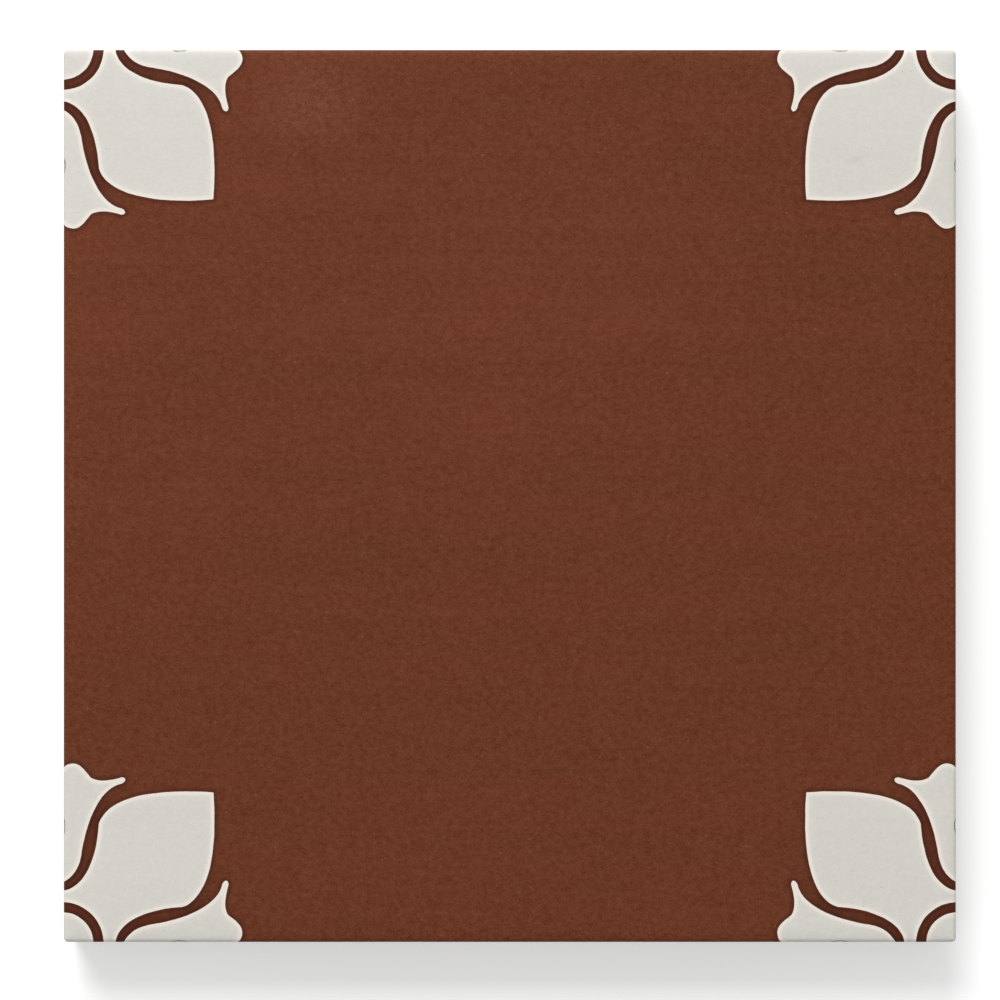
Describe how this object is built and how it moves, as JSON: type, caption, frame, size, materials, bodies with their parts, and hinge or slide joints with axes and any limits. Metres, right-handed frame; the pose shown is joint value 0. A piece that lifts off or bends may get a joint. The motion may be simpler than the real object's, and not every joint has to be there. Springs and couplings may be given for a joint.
{
  "type": "patterned cement floor tile",
  "caption": "Square pressed cement floor tile with a quarter rosette and half buds inlaid at each corner of its flat face, drafted sides, eased top edges and a keyed back.",
  "frame": {"origin": "centre of the plane that the back's rim rests on", "axes": "+Z out of the patterned face, +X and +Y square to the sides. The pattern is the same after a quarter turn, so +Y is also the top of the picture"},
  "size_m": [0.2, 0.2, 0.016],
  "materials": {
    "cement": "matte"
  },
  "bodies": {
    "root": {"tile": "cement"}
  },
  "joints": []
}
